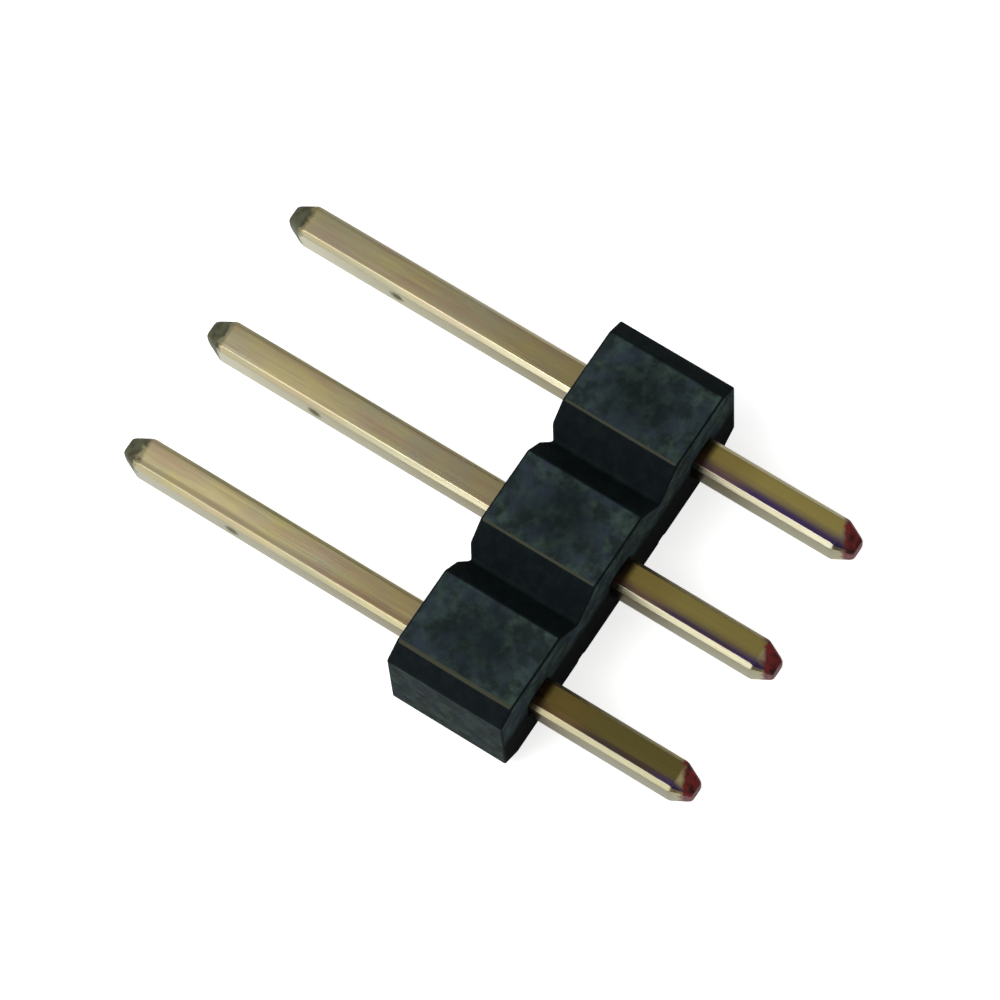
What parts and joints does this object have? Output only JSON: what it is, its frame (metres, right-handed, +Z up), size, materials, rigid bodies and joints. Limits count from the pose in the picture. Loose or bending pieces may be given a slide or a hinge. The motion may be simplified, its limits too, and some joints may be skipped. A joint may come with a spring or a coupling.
{
  "type": "pin header strip",
  "caption": "Single-row pin header strip: gold-plated square posts pressed through a black moulded housing with break notches, lying on its side.",
  "frame": {"origin": "middle of the housing's under side, the side that the header lies on", "axes": "+X along the row of posts, +Y along the posts towards the long contact ends, +Z up, away from the surface that it lies on"},
  "size_m": [0.0072, 0.0115, 0.0023],
  "materials": {
    "housing_plastic": "satin",
    "post_plating": "polished"
  },
  "bodies": {
    "root": {"housing": "housing_plastic", "pin_1": "post_plating", "pin_2": "post_plating", "pin_3": "post_plating"}
  },
  "joints": []
}
